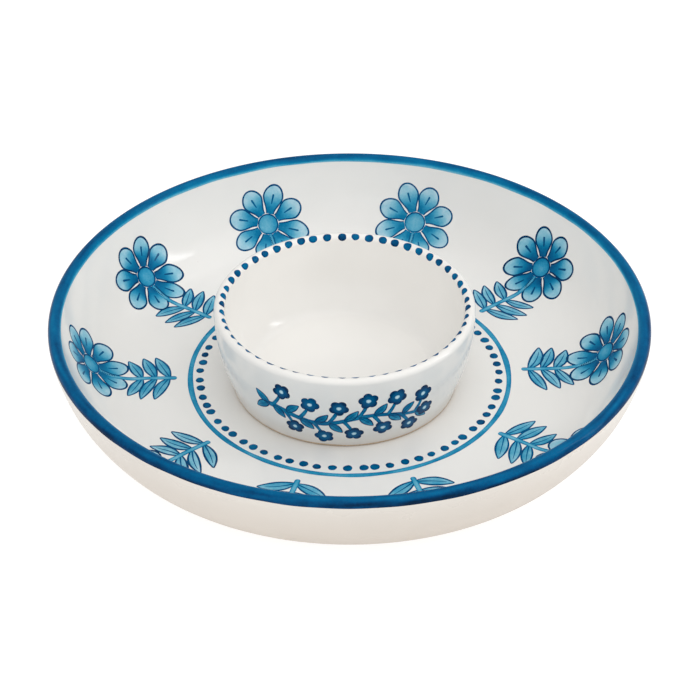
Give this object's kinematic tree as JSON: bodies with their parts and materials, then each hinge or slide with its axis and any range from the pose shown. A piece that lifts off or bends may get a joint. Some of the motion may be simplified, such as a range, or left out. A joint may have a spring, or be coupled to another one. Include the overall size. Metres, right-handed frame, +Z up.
{
  "type": "chip and dip server",
  "caption": "Wide low glazed stoneware serving bowl with a smaller loose dip bowl standing on its flat floor, blue hand-painted floral decoration.",
  "frame": {"origin": "centre of the serving bowl's foot ring, on the surface it stands on", "axes": "+Z up along the serving bowl's axis of revolution, -Y towards the viewer of the painted front of the dip bowl, +X to the viewer's right"},
  "size_m": [0.33, 0.33, 0.0588],
  "materials": {
    "white_glaze": "glossy warm off-white glaze over stoneware",
    "dip_bowl_glaze": "glossy warm off-white glaze over stoneware",
    "blue_underglaze": "brushed cobalt blue painting under the clear glaze"
  },
  "bodies": {
    "serving_bowl": {"serving_bowl": "white_glaze"},
    "dip_bowl": {"dip_bowl": "dip_bowl_glaze"}
  },
  "joints": [
    {"name": "dip_bowl_lift", "type": "slide", "parent": "serving_bowl", "child": "dip_bowl", "axis": [0, 0, 1], "range_m": [0, 0.15]}
  ]
}
